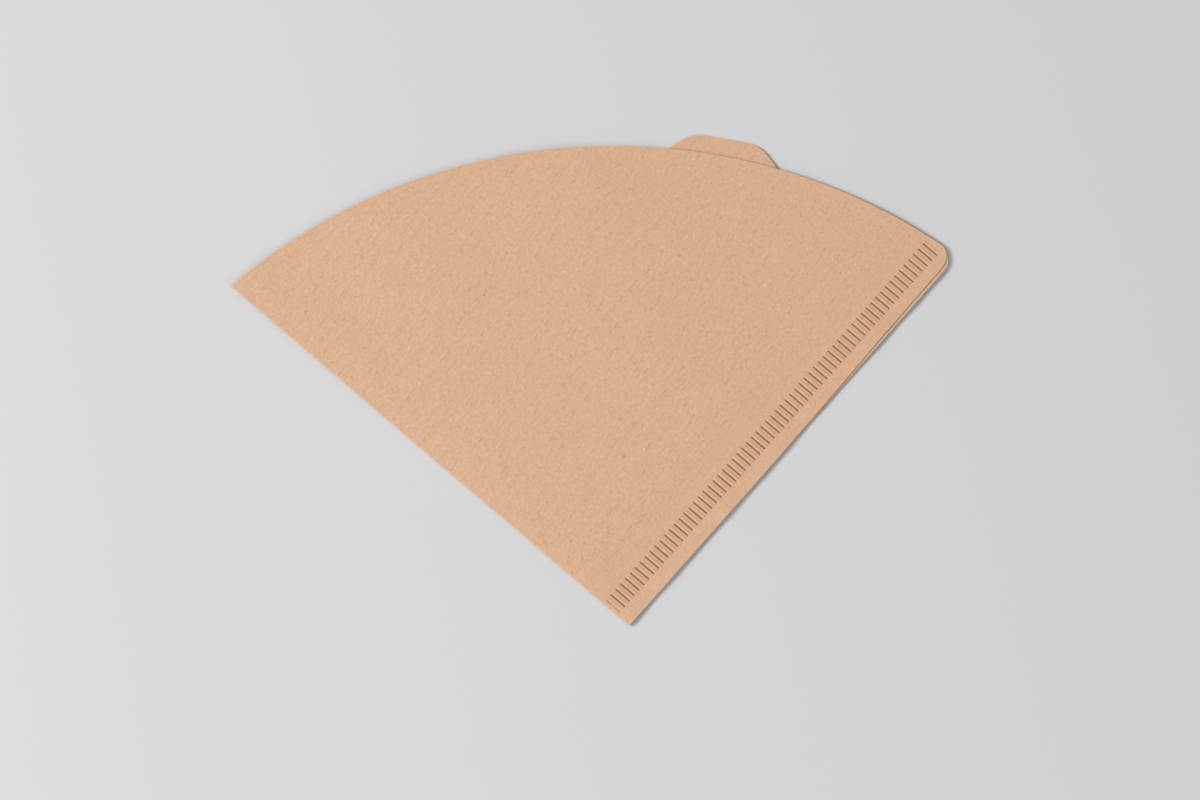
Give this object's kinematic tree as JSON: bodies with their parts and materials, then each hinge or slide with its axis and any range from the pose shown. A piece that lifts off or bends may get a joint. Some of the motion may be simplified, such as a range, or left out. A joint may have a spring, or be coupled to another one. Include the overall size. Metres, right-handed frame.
{
  "type": "paper coffee filter",
  "caption": "Cone coffee filter in unbleached crepe paper, folded flat: folded edge, crimped seam, curved open rim with a pull tab.",
  "frame": {"origin": "middle of the footprint, on the face that the filter lies on", "axes": "+Z through the paper, +Y from the tip towards the open rim along the bisector of fold and seam, +X towards the seam side"},
  "size_m": [0.1678, 0.1166, 0.0008],
  "materials": {
    "kraft_paper": "matt unbleached crepe filter paper"
  },
  "bodies": {
    "root": {"filter_paper": "kraft_paper"}
  },
  "joints": []
}
